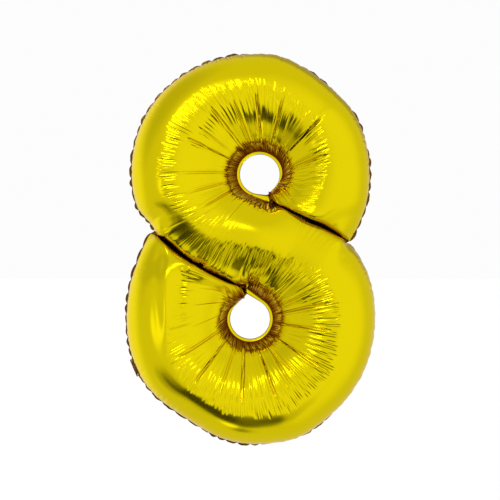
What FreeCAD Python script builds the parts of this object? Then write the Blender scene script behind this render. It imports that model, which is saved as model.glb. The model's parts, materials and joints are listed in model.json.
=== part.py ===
import FreeCAD, Part

# Foil number balloon, figure 8, about 860 mm tall when inflated.
#
# Two metallised film panels are welded to each other along narrow bands.  The inflated body is
# one fat tube that runs like a letter S: an upper arm round the upper eye, a slanting waist and a
# lower arm round the lower eye.  Each arm ends in a slanting cross weld against the waist.
#
# Millimetres, +Z up, -Y is the front, origin at the centre of the outline on the weld plane.
# Film is far thinner than a solid can usefully be, so every layer has a stand-in wall.

import math
import os

from FreeCAD import Placement, Rotation, Vector

# ---- outline, X and Z in the weld plane ----
UPPER_LOBE = (0.0, 163.0)
LOWER_LOBE = (0.0, -151.0)
UPPER_RADIUS = 262.0             # film outline of the upper lobe
LOWER_RADIUS = 274.0             # film outline of the lower lobe
UPPER_EYE = (21.5, 166.0)
LOWER_EYE = (0.0, -151.0)
EYE_RADIUS = 50.0                # film edge round each eye
UPPER_TIP = (43.0, 107.0)        # the upper cross weld leaves the upper eye here
LOWER_TIP = (-7.5, -86.0)        # the lower cross weld leaves the lower eye here
UPPER_HANDLES = ((104.0, 85.0), (165.0, 53.0))      # curve handles of the upper cross weld
LOWER_HANDLES = ((-74.0, -42.0), (-143.0, -8.0))    # curve handles of the lower cross weld

# ---- film ----
WALL = 1.2                       # stand-in for film 0.04 thick
LOBE_RISE = 79.0                 # greatest half depth of an arm
WAIST_RISE = 80.0                # greatest half depth of the waist
LOBE_SPREAD = (0.0, 0.084, 0.247, 0.528, 0.847, 1.0, 1.0)      # control net across an arm
LOBE_LIFT = (0.0, 0.289, 0.724, 1.063, 0.945, 0.377, 0.0)
WAIST_SPREAD = (0.0, 0.0, 0.255, 0.5, 0.745, 1.0, 1.0)         # control net across the waist
WAIST_LIFT = (0.0, 0.444, 0.963, 1.013, 0.963, 0.444, 0.0)
CAP_PLACES = (0.0, 0.012, 0.045, 0.10, 0.17)        # an arm's closed end, as shares of the arm
CAP_LIFTS = (0.0, 0.46, 0.90, 1.04, 1.02)
ARM_STATIONS = 15                # further cross sections along an arm
WAIST_STATIONS = 6               # cross sections along half of the waist
DEGREE = 3

# ---- welds ----
CROSS_WELD = 6.0                 # width of a cross weld
RIM_WELD = 5.0                   # perimeter weld, outside the film outline
EYE_WELD = 6.5                   # weld round an eye, inside the film edge
WELD_THICKNESS = 1.2             # both films fused, as a stand-in
NOTCH_FILL = 11.0                # radius of the flange's fill in each waist notch
EYE_CUT = 62.0                   # an eye's weld ends and the cross weld starts at this radius
TIP_REACH = 52.0                 # centre of the eye opening's rounded tip, from the eye's centre
TIP_ROUND = 2.5

# ---- fill tail, folded back behind the lower lobe ----
TAIL_ANGLE = 203.0               # degrees round the lower lobe, from +X to +Z
TAIL_LENGTH = 48.0
TAIL_CHANNEL = 30.0              # between the two side welds
TAIL_SIDE = 5.0                  # width of each side weld
TAIL_LAYER = 0.8
TAIL_GAP = 1.6                   # between the layers, round the valve sleeve
TAIL_FOLD = 98.0                 # how far the tail is folded back from straight out, degrees
TAIL_ROOT = 1.2                  # from the fold line to the start of the layers
FOLD_OFFSET = 3.2                # fold line, outside the film outline
TAIL_SLOT = 42.0                 # width of the flange's cut-back at the tail
EAR_RADIUS = 9.0                 # tie ear at the free end
RIBBON_HOLE = 2.5                # radius

# ---- valve, two films with a heat-proof print between them ----
VALVE_WIDTH = 24.0
VALVE_REACH = 115.0              # from the fold line into the balloon
VALVE_LAYER = 0.5
VALVE_GAP = 0.2
SLEEVE_INSET = 9.0               # the valve stops this far short of the tail's mouth
PRINT_LENGTH = 32.0


def polar(centre, radius, angle):
    """Point on a circle in the weld plane, angle in degrees."""
    a = math.radians(angle)
    return (centre[0] + radius * math.cos(a), centre[1] + radius * math.sin(a))


def mix(a, b, t):
    return tuple(p + (q - p) * t for p, q in zip(a, b))


def smooth(t):
    t = min(1.0, max(0.0, t))
    return t * t * (3.0 - 2.0 * t)


def bearing(centre, point):
    """Angle of a point seen from a centre, in degrees."""
    return math.degrees(math.atan2(point[1] - centre[1], point[0] - centre[0]))


def notch():
    """Where the two lobe outlines cross: half width and height."""
    gap = UPPER_LOBE[1] - LOWER_LOBE[1]
    up = (LOWER_RADIUS ** 2 - UPPER_RADIUS ** 2 + gap ** 2) / (2.0 * gap)
    return math.sqrt(LOWER_RADIUS ** 2 - up ** 2), LOWER_LOBE[1] + up


NOTCH_X, NOTCH_Z = notch()
UPPER_CROSS = (UPPER_TIP,) + UPPER_HANDLES + ((NOTCH_X, NOTCH_Z),)
LOWER_CROSS = (LOWER_TIP,) + LOWER_HANDLES + ((-NOTCH_X, NOTCH_Z),)


def bezier(points, t):
    weights = ((1 - t) ** 3, 3 * t * (1 - t) ** 2, 3 * t * t * (1 - t), t ** 3)
    return tuple(sum(w * p[k] for w, p in zip(weights, points)) for k in range(2))


def weld_point(weld, t, offset):
    """Point on a cross weld's line, moved to its left by offset, seen from its eye."""
    step = 0.001
    a, b = bezier(weld, max(0.0, t - step)), bezier(weld, min(1.0, t + step))
    length = math.hypot(b[0] - a[0], b[1] - a[1])
    x, z = bezier(weld, t)
    return (x - (b[1] - a[1]) / length * offset, z + (b[0] - a[0]) / length * offset)


class Arm:
    """Half of the S, from an arm's closed end to the middle of the waist.

    Both arms run anticlockwise seen from the front.  A place is 0 at the closed end, 1 at the
    far notch and 2 in the middle of the waist.
    """

    def __init__(self, eye, lobe, radius, own, far):
        self.eye, self.lobe, self.radius, self.own, self.far = eye, lobe, radius, own, far
        tip = math.dist(eye, own[0])
        self.eye_start = bearing(eye, own[0])
        self.eye_far = self.after(bearing(eye, far[3]), self.eye_start)
        tangent = math.degrees(math.acos(EYE_RADIUS / tip))
        self.eye_leave = self.eye_start + 360.0 - tangent
        self.rim_start = bearing(lobe, own[3])
        self.rim_far = self.after(bearing(lobe, far[3]), self.rim_start)

    @staticmethod
    def after(angle, start):
        while angle < start:
            angle += 360.0
        return angle

    def corners(self, inset):
        """Both ends of the arm's closed end, on the eye's side and on the rim."""
        clear = CROSS_WELD / 2.0 + inset
        length = math.dist(self.own[0], self.own[3])
        turn = math.radians(self.rim_start - bearing(self.own[2], self.own[3]))
        along = (clear + inset * math.sin(turn)) / math.cos(turn)
        shift = math.degrees(along / self.radius)
        rim = polar(self.lobe, self.radius - inset, self.rim_start + shift)
        return weld_point(self.own, inset / length, clear), rim, shift

    def edges(self, place, inset):
        """Eye-side and rim-side film edge of the cross section at a place."""
        clear = CROSS_WELD / 2.0 + inset
        eye_corner, rim_corner, shift = self.corners(inset)
        if place == 0.0:
            return eye_corner, rim_corner
        if place <= 1.0:
            rim = self.rim_start + shift + (self.rim_far - self.rim_start - 2.0 * shift) * place
            eye = self.eye_start + (self.eye_far - self.eye_start) * place
            return polar(self.eye, self.tip_radius(eye) + inset, eye), polar(self.lobe, self.radius - inset, rim)
        t = place - 1.0
        rim_side = weld_point(self.far, 1.0 - t, -clear)
        leave = 0.4
        if t < leave:
            angle = self.eye_far + (self.eye_leave - self.eye_far) * t / leave
            return polar(self.eye, EYE_RADIUS + inset, angle), rim_side
        tangent = polar(self.eye, EYE_RADIUS + inset, self.eye_leave)
        tip = weld_point(self.own, 0.0, -clear)
        return mix(tangent, tip, (t - leave) / (1.0 - leave)), rim_side

    def tip_radius(self, angle):
        """The arm's swollen corner reaches a little into the eye beside its tip."""
        past = angle - self.eye_start
        return EYE_RADIUS + 9.0 * math.exp(-(past / 9.0) ** 2) - 5.0 * math.exp(-((past - 38.0) / 22.0) ** 2)

    def net_row(self, place, lift, inset):
        """Seven control points across the film at a place, as X, Z and height."""
        eye_side, rim_side = self.edges(place, inset)
        waist = smooth(place - 0.75)
        row = []
        for k in range(7):
            across = LOBE_SPREAD[k] + (WAIST_SPREAD[k] - LOBE_SPREAD[k]) * waist
            high = LOBE_LIFT[k] * LOBE_RISE * (1 - waist) + WAIST_LIFT[k] * WAIST_RISE * waist
            high = high * lift - (1.1 * inset if 1 < k < 5 else 0.6 * inset)
            straight = mix(self.own[0], self.own[3], across)
            curved = bezier(self.own, across)
            fade = 1.0 - smooth(place / 0.2)
            x, z = mix(eye_side, rim_side, across)
            x += (curved[0] - straight[0]) * fade
            z += (curved[1] - straight[1]) * fade
            row.append((x, z, 0.0 if k in (0, 6) or lift == 0.0 else max(0.2, high)))
        return row

    def net(self, inset):
        """Rows from the closed end to the middle of the waist."""
        rows = [self.net_row(p, s, inset) for p, s in zip(CAP_PLACES, CAP_LIFTS)]
        start = CAP_PLACES[-1]
        for i in range(1, ARM_STATIONS + 1):
            rows.append(self.net_row(start + (1.0 - start) * i / ARM_STATIONS, 1.0, inset))
        for i in range(1, WAIST_STATIONS + 1):
            rows.append(self.net_row(1.0 + i / WAIST_STATIONS, 1.0, inset))
        return rows


UPPER_ARM = Arm(UPPER_EYE, UPPER_LOBE, UPPER_RADIUS, UPPER_CROSS, LOWER_CROSS)
LOWER_ARM = Arm(LOWER_EYE, LOWER_LOBE, LOWER_RADIUS, LOWER_CROSS, UPPER_CROSS)


def knots(count):
    """Clamped uniform knots and their multiplicities for a number of poles."""
    inner = count - DEGREE
    return list(range(inner + 1)), [DEGREE + 1] + [1] * (inner - 1) + [DEGREE + 1]


def film_surface(inset):
    """The whole S as one surface, with its edge on the weld plane and its crown towards -Y."""
    upper, lower = UPPER_ARM.net(inset), LOWER_ARM.net(inset)
    rows = upper + [list(reversed(row)) for row in reversed(lower[:-1])]
    poles = [list(row) for row in rows]
    for i in range(len(CAP_PLACES), len(rows) - len(CAP_PLACES)):
        for k in range(7):
            before, here, after = rows[i - 1][k], rows[i][k], rows[i + 1][k]
            poles[i][k] = tuple((8.0 * h - b - a) / 6.0 for b, h, a in zip(before, here, after))
    points = [[Vector(x, -y, z) for x, z, y in row] for row in poles]
    along, across = knots(len(points)), knots(7)
    surface = Part.BSplineSurface()
    surface.buildFromPolesMultsKnots(points, along[1], across[1], along[0], across[0],
                                     False, False, DEGREE, DEGREE)
    return surface


def outline(face):
    """A film surface's edge on the weld plane."""
    return Part.Wire(Part.__sortEdges__(face.Edges))


def film_panel(outer, inner):
    """Hollow shell between the outer and the inner surface, open on the weld plane."""
    rim = Part.makeFace([outline(outer), outline(inner)], "Part::FaceMakerBullseye")
    shell = Part.makeShell([outer, inner, rim])
    shell.sewShape()
    solid = Part.makeSolid(shell)
    if solid.Volume < 0:
        solid.reverse()
    return solid


def disc(centre, radius, thickness):
    """Disc on the weld plane, centred in depth."""
    return Part.makeCylinder(radius, thickness, Vector(centre[0], -thickness / 2.0, centre[1]),
                             Vector(0, 1, 0))


def eye_opening(eye, tip, thickness):
    """Teardrop through the eye's weld: a round hole drawn out towards the cross weld."""
    radius = EYE_RADIUS - EYE_WELD
    angle = bearing(eye, tip)
    spread = math.degrees(math.acos((radius - TIP_ROUND) / TIP_REACH))
    end = polar(eye, TIP_REACH, angle)
    points = [polar(eye, radius, angle + spread), polar(eye, radius, angle + 180.0),
              polar(eye, radius, angle - spread), polar(end, TIP_ROUND, angle - spread),
              polar(end, TIP_ROUND, angle), polar(end, TIP_ROUND, angle + spread)]
    a, b, c, d, e, f = [Vector(x, -thickness / 2.0, z) for x, z in points]
    edges = [Part.Arc(a, b, c).toShape(), Part.makeLine(c, d), Part.Arc(d, e, f).toShape(),
             Part.makeLine(f, a)]
    return Part.Face(Part.Wire(edges)).extrude(Vector(0, thickness, 0))


def weld_plate():
    """Everything inside the flange's outer edge, with both eyes cut out."""
    plate = disc(UPPER_LOBE, UPPER_RADIUS + RIM_WELD, WELD_THICKNESS)
    extra = [disc(LOWER_LOBE, LOWER_RADIUS + RIM_WELD, WELD_THICKNESS)]
    extra += [disc((side * (NOTCH_X + 2.0), NOTCH_Z), NOTCH_FILL, WELD_THICKNESS) for side in (-1, 1)]
    plate = plate.multiFuse(extra).removeSplitter()
    openings = [eye_opening(eye, tip, 3.0 * WELD_THICKNESS)
                for eye, tip in ((UPPER_EYE, UPPER_TIP), (LOWER_EYE, LOWER_TIP))]
    return plate.cut(openings)


def tail_frame():
    """Placement of the fold line: local X straight out, local Z along the fold, local Y back."""
    x, z = polar(LOWER_LOBE, LOWER_RADIUS + FOLD_OFFSET, TAIL_ANGLE)
    return Placement(Vector(x, 0, z), Rotation(Vector(0, 1, 0), -TAIL_ANGLE))


def in_tail(shape):
    """Put a shape drawn along local X at the fold line, folded back."""
    shape.Placement = tail_frame().multiply(Placement(Vector(), Rotation(Vector(0, 0, 1), TAIL_FOLD)))
    return shape


def in_neck(shape):
    """Put a shape drawn along local X at the fold line, straight out."""
    shape.Placement = tail_frame()
    return shape


def block(x0, x1, y0, y1, z0, z1):
    return Part.makeBox(x1 - x0, y1 - y0, z1 - z0, Vector(x0, y0, z0))


def weld_parts(inner_outline):
    """The five weld bands, cut from the plate round the inflated part."""
    hollow = inner_outline.extrude(Vector(0, 4.0 * WELD_THICKNESS, 0))
    hollow.translate(Vector(0, -2.0 * WELD_THICKNESS, 0))
    net = weld_plate().cut(hollow)
    upper_disc = disc(UPPER_EYE, EYE_CUT, 3.0 * WELD_THICKNESS)
    lower_disc = disc(LOWER_EYE, EYE_CUT, 3.0 * WELD_THICKNESS)
    reach = NOTCH_X - 1.0
    middle = block(-reach, reach, -3.0, 3.0, LOWER_EYE[1], UPPER_EYE[1])
    crossing = net.common(middle).cut([upper_disc, lower_disc])
    cross = sorted(crossing.Solids, key=lambda s: s.CenterOfMass.z)
    rim = net.cut([middle, upper_disc, lower_disc])
    slot = in_neck(block(-8.0, 12.0, -3.0, 3.0, -VALVE_WIDTH / 2.0, VALVE_WIDTH / 2.0))
    setback = in_neck(block(-0.2, 12.0, -3.0, 3.0, -TAIL_SLOT / 2.0, TAIL_SLOT / 2.0))
    return {
        "upper_eye_weld": net.common(upper_disc),
        "lower_eye_weld": net.common(lower_disc),
        "upper_cross_weld": cross[-1],
        "lower_cross_weld": cross[0],
        "perimeter_weld": rim.cut([slot, setback]),
    }


def tail_layer(side):
    """One foil layer of the tail with its half of the tie ear; side -1 is the front one."""
    half = TAIL_CHANNEL / 2.0 + TAIL_SIDE
    near, far = TAIL_GAP / 2.0, TAIL_GAP / 2.0 + TAIL_LAYER
    low, high = (near, far) if side > 0 else (-far, -near)
    layer = block(TAIL_ROOT, TAIL_LENGTH, low, high, -half, half)
    centre = Vector(TAIL_LENGTH, low, 0)
    ear = Part.makeCylinder(EAR_RADIUS, TAIL_LAYER, centre, Vector(0, 1, 0))
    layer = layer.fuse(ear).removeSplitter()
    hole = Part.makeCylinder(RIBBON_HOLE, 4.0 * TAIL_LAYER, centre - Vector(0, TAIL_LAYER, 0), Vector(0, 1, 0))
    return in_tail(layer.cut(hole))


def tail_ear_weld():
    """The layers are spot welded together round the ribbon hole."""
    centre = Vector(TAIL_LENGTH, -TAIL_GAP / 2.0, 0)
    spot = Part.makeCylinder(EAR_RADIUS, TAIL_GAP, centre, Vector(0, 1, 0))
    hole = Part.makeCylinder(RIBBON_HOLE, 3.0 * TAIL_GAP, centre - Vector(0, TAIL_GAP, 0), Vector(0, 1, 0))
    return in_tail(spot.cut(hole))


def tail_side_weld(side):
    inner, outer = side * TAIL_CHANNEL / 2.0, side * (TAIL_CHANNEL / 2.0 + TAIL_SIDE)
    return in_tail(block(TAIL_ROOT, TAIL_LENGTH, -TAIL_GAP / 2.0, TAIL_GAP / 2.0,
                         min(inner, outer), max(inner, outer)))


def tail_sleeve():
    """The valve's outer part inside the tail: a flat sleeve that touches both layers."""
    far = TAIL_LENGTH - EAR_RADIUS - SLEEVE_INSET
    half, deep = VALVE_WIDTH / 2.0, TAIL_GAP / 2.0
    sleeve = block(TAIL_ROOT, far, -deep, deep, -half, half)
    channel = block(0.0, TAIL_LENGTH, -deep + VALVE_LAYER, deep - VALVE_LAYER, -half + 1.5, half - 1.5)
    return in_tail(sleeve.cut(channel))


def valve_film(side):
    near, far = VALVE_GAP / 2.0, VALVE_GAP / 2.0 + VALVE_LAYER
    low, high = (near, far) if side > 0 else (-far, -near)
    return in_neck(block(-VALVE_REACH, -0.4, low, high, -VALVE_WIDTH / 2.0, VALVE_WIDTH / 2.0))


def release_print():
    half = VALVE_WIDTH / 2.0 - 2.0
    return in_neck(block(-PRINT_LENGTH, -0.4, -VALVE_GAP / 2.0, VALVE_GAP / 2.0, -half, half))


def build():
    outer, inner = film_surface(0.0).toShape(), film_surface(WALL).toShape()
    front = film_panel(outer, inner)
    front.translate(Vector(0, -WELD_THICKNESS / 2.0, 0))
    nodes = {"front_film": front, "rear_film": front.mirror(Vector(), Vector(0, 1, 0))}
    nodes.update(weld_parts(Part.Face(outline(inner))))
    nodes["tail_front_layer"] = tail_layer(-1)
    nodes["tail_rear_layer"] = tail_layer(1)
    nodes["tail_upper_side_weld"] = tail_side_weld(1)
    nodes["tail_lower_side_weld"] = tail_side_weld(-1)
    nodes["tail_ear_weld"] = tail_ear_weld()
    nodes["tail_valve_sleeve"] = tail_sleeve()
    nodes["valve_front_film"] = valve_film(-1)
    nodes["valve_rear_film"] = valve_film(1)
    nodes["valve_release_print"] = release_print()
    return nodes


os.makedirs("parts", exist_ok=True)
for name, shape in build().items():
    shape.exportStep(os.path.join("parts", name + ".step"))
    box = shape.BoundBox
    print(name, "valid" if shape.isValid() else "INVALID", len(shape.Solids), round(shape.Volume, 1),
          [round(v, 1) for v in (box.XMin, box.XMax, box.YMin, box.YMax, box.ZMin, box.ZMax)])
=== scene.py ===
"""Inflated foil number balloon, figure 8.

The two film panels are inflated here by a small cloth solver: a flat cut figure is pressed out from
a smooth start, its welds stay on the middle plane, and its spare length falls into creases.
"""

import json
import math

import bpy
import numpy as np
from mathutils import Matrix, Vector


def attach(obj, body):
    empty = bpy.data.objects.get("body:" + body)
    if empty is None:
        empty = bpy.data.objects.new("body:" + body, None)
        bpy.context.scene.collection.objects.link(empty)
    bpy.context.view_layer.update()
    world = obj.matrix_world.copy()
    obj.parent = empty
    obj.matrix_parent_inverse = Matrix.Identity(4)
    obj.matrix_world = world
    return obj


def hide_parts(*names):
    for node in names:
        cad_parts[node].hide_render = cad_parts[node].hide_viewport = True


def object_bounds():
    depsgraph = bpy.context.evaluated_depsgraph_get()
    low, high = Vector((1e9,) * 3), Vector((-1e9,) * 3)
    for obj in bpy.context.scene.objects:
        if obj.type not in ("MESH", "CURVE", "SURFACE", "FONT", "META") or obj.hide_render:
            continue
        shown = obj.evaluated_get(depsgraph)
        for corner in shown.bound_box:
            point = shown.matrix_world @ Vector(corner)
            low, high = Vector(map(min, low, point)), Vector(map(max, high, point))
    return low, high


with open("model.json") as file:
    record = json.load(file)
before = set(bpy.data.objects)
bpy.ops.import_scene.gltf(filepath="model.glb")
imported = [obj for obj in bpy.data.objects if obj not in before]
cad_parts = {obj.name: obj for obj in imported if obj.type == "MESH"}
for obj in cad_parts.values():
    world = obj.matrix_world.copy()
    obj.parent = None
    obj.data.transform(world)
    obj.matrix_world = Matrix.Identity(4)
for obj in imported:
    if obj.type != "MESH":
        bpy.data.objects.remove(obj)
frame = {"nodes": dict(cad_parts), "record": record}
CAD_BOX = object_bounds()

bl_info = {
    "name": "Foil number balloon",
    "version": (1, 0, 0),
    "blender": (4, 5, 0),
    "location": "3D View > Sidebar > Balloon",
    "description": "Builds an inflated foil figure 8 with its welds, fill tail and studio",
    "category": "Add Mesh",
}

F32 = np.float32


# ------------------------------------------------------------------ outline of the figure


def ease(t):
    t = np.clip(t, 0.0, 1.0)
    return t * t * (3.0 - 2.0 * t)


def bezier(points, t):
    t = np.asarray(t, float)[..., None]
    p = np.asarray(points, float)
    return (1 - t) ** 3 * p[0] + 3 * t * (1 - t) ** 2 * p[1] + 3 * t * t * (1 - t) * p[2] + t ** 3 * p[3]


def beside_weld(weld, t, offset):
    """Points on a cross weld's line, moved to its left by offset."""
    step = 1e-3
    run = bezier(weld, np.minimum(1, t + step)) - bezier(weld, np.maximum(0, t - step))
    run /= np.linalg.norm(run, axis=-1, keepdims=True)
    return bezier(weld, t) + np.stack([-run[..., 1], run[..., 0]], -1) * offset


def polar(centre, radius, angle):
    return np.stack([centre[0] + radius * np.cos(angle), centre[1] + radius * np.sin(angle)], -1)


def bearing(centre, point):
    return math.atan2(point[1] - centre[1], point[0] - centre[0])


class Outline:
    """The 8 in the weld plane: two lobes, two eyes and the cross welds that close the two arms."""

    def __init__(self, lobes, radii, eyes, eye_radius, tips, bows, weld, pinch=0.0):
        self.lobes, self.radii, self.eyes = lobes, radii, eyes
        self.eye_radius, self.weld = eye_radius, weld
        gap = lobes[0][1] - lobes[1][1]
        up = (radii[1] ** 2 - radii[0] ** 2 + gap ** 2) / (2.0 * gap)
        side, height = math.sqrt(radii[1] ** 2 - up ** 2) - pinch, lobes[1][1] + up
        self.cross = [self.cross_weld(tips[0], (side, height), bows[0]),
                      self.cross_weld(tips[1], (-side, height), bows[1])]

    @staticmethod
    def cross_weld(tip, notch, bow):
        tip, notch = np.array(tip), np.array(notch)
        run = notch - tip
        left = np.array([-run[1], run[0]]) / np.linalg.norm(run)
        return np.array([tip, tip + run / 3 + left * bow, tip + run * 2 / 3 + left * bow, notch])

    def edges(self, arm, place):
        """Eye-side and rim-side points of an arm's cross sections.

        place runs from 0 at the arm's closed end to 1 at the far notch and 2 in mid waist.
        """
        lobe, eye, own, far = self.lobes[arm], self.eyes[arm], self.cross[arm], self.cross[1 - arm]
        clear = self.weld / 2.0
        tip = math.dist(eye, own[0])
        eye_start = bearing(eye, own[0])
        eye_far = bearing(eye, far[3])
        eye_far += 2 * math.pi * (eye_far < eye_start)
        eye_leave = eye_start + 2 * math.pi - math.acos(self.eye_radius / tip)
        rim_start, rim_far = bearing(lobe, own[3]), bearing(lobe, far[3])
        rim_far += 2 * math.pi * (rim_far < rim_start)
        shift = clear / math.cos(rim_start - bearing(own[2], own[3])) / self.radii[arm]
        along = np.clip(place, 0, 1)
        near, end = math.dist(lobe, own[3]), math.dist(lobe, far[3])
        radius = self.radii[arm] + (near - self.radii[arm]) * np.exp(-(along / 0.09) ** 2)
        radius += (end - self.radii[arm]) * np.exp(-((1 - along) / 0.09) ** 2)
        rim = polar(lobe, radius, rim_start + shift + (rim_far - rim_start - 2 * shift) * along)
        turn = (eye_far - eye_start) * along
        past = np.degrees(turn)
        ring = self.eye_radius + 0.009 * np.exp(-(past / 9) ** 2) - 0.005 * np.exp(-((past - 38) / 22) ** 2)
        corner = np.exp(-(past / 6) ** 2)[..., None]
        eye_side = polar(eye, ring, eye_start + turn) * (1 - corner) + beside_weld(own, np.zeros(1), clear) * corner
        # the waist, past the far notch
        t = np.clip(place - 1, 0, 1)
        leave = 0.4
        round_eye = polar(eye, self.eye_radius, eye_far + (eye_leave - eye_far) * np.clip(t / leave, 0, 1))
        m = np.clip((t - leave) / (1 - leave), 0, 1)[..., None]
        to_tip = round_eye * (1 - m) + beside_weld(own, np.zeros(1), -clear) * m
        waist = (place > 1)[..., None]
        return np.where(waist, to_tip, eye_side), np.where(waist, beside_weld(far, 1 - t, -clear), rim)


def arm_profile(steps=1200):
    """Film round an eye: its curvature grows in proportion to the distance from the eye.

    Gives shares of the film's width, shares of the chord, and height over the chord.
    """
    start, width, growth, slope = 0.050, 0.2968, 48.57, math.radians(50.88)
    step = width / steps
    r, h = [start], [0.0]
    for _ in range(steps):
        middle = slope - 0.5 * step * growth * r[-1]
        slope -= step * growth * (r[-1] + 0.5 * step * math.cos(middle))
        r.append(r[-1] + step * math.cos(middle))
        h.append(h[-1] + step * math.sin(middle))
    r, h = np.array(r), np.array(h)
    return np.linspace(0, 1, steps + 1), (r - start) / (r[-1] - start), h / (r[-1] - start)


def oval_profile(rise, steps=1200):
    """Half an oval, as shares of its length, shares of the chord, and height over the chord."""
    t = np.linspace(0, math.pi, steps + 1)
    x, h = (1 - np.cos(t)) / 2, rise * np.sin(t)
    run = np.concatenate([[0], np.cumsum(np.hypot(np.diff(x), np.diff(h)))])
    return run / run[-1], x, h


ARM_SHAPE = arm_profile()
WAIST_SHAPE = oval_profile(0.41)


def closed_end(flat):
    """An arm's rounded end: film used along the arm to place along it and share of full height."""
    used, reach = 0.145, 0.105
    share, x, h = oval_profile(0.47)
    half = len(share) // 2
    share, x, h = share[:half + 1] / share[half], x[:half + 1] / x[half], h[:half + 1] / h[half]
    u = np.clip(flat / used, 0, 1)
    place = np.where(flat < used, reach * np.interp(u, share, x), reach + (1 - reach) * (flat - used) / (1 - used))
    return place, np.where(flat < used, np.interp(u, share, h), 1.0)


def arm_grid(arm, stations, across, shape, cut):
    """Start shape (3D) and flat cut (2D) of one arm, from its closed end to mid waist."""
    flat = np.concatenate([np.linspace(0, 1, stations + 1), 1 + np.arange(1, across + 1) / across])
    place, full = closed_end(np.minimum(flat, 1.0))
    place, full = np.where(flat <= 1, place, flat), np.where(flat <= 1, full, 1.0)
    eye_side, rim_side = shape.edges(arm, place)
    cut_eye, cut_rim = cut.edges(arm, flat)
    a = np.linspace(0, 1, across + 1)
    waist = ease(place - 0.75)[:, None]
    chord = (1 - waist) * np.interp(a, *ARM_SHAPE[:2]) + waist * np.interp(a, *WAIST_SHAPE[:2])
    height = (1 - waist) * np.interp(a, ARM_SHAPE[0], ARM_SHAPE[2]) * 0.225
    height = height + waist * np.interp(a, WAIST_SHAPE[0], WAIST_SHAPE[2]) * 0.193
    width = np.linalg.norm(rim_side - eye_side, axis=-1)[:, None]
    cut_width = np.linalg.norm(cut_rim - cut_eye, axis=-1)[:, None]
    lift = np.ones_like(width)
    for _ in range(12):
        length = np.hypot(np.diff(chord * width, axis=1), np.diff(height * lift, axis=1)).sum(1, keepdims=True)
        lift = np.clip(lift * (1 + 1.2 * (cut_width - length) / cut_width), 0.7, 1.25)
    start = eye_side[:, None] * (1 - chord[..., None]) + rim_side[:, None] * chord[..., None]
    flat_cut = cut_eye[:, None] * (1 - a[:, None]) + cut_rim[:, None] * a[:, None]
    for points, weld, share, along in ((start, shape.cross[arm], chord[0], place), (flat_cut, cut.cross[arm], a, flat)):
        bow = bezier(weld, share) - (weld[0] * (1 - share[:, None]) + weld[3] * share[:, None])
        points += bow[None] * (1 - ease(along / 0.2))[:, None, None]
    return np.concatenate([start, (height * lift * full[:, None])[..., None]], -1), flat_cut


def figure_grid(stations, across, shape, cut):
    """The whole S as one grid: start shape as X, Y, Z and the flat cut as X, Z."""
    upper, upper_cut = arm_grid(0, stations, across, shape, cut)
    lower, lower_cut = arm_grid(1, stations, across, shape, cut)
    start = np.concatenate([upper, lower[:-1][::-1, ::-1]], 0)
    flat = np.concatenate([upper_cut, lower_cut[:-1][::-1, ::-1]], 0)
    middle = stations + across
    start[middle] = (upper[-1] + lower[-1][::-1]) / 2
    flat[middle] = (upper_cut[-1] + lower_cut[-1][::-1]) / 2
    return (np.stack([start[..., 0], -start[..., 2], start[..., 1]]).astype(F32),
            np.moveaxis(flat, -1, 0).astype(F32))


# ------------------------------------------------------------------ the film under pressure


def gaps(points, di, dj):
    """Distances between grid points di rows and dj columns apart."""
    n, m = points.shape[1:]
    a = points[:, :n - di, max(0, -dj):m - max(0, dj)]
    b = points[:, di:, max(0, dj):m + min(0, dj)]
    return np.sqrt(((b - a) ** 2).sum(0)).astype(F32)


def pull(a, b, rest, stretched, squeezed):
    """Move two sets of points together or apart towards their rest distance."""
    d = b - a
    length = np.sqrt(d[0] * d[0] + d[1] * d[1] + d[2] * d[2]) + F32(1e-9)
    share = (length - rest) / length
    share = np.where(share > 0, share * stretched, share * squeezed) * F32(0.5)
    d *= share
    a += d
    b -= d


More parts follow.
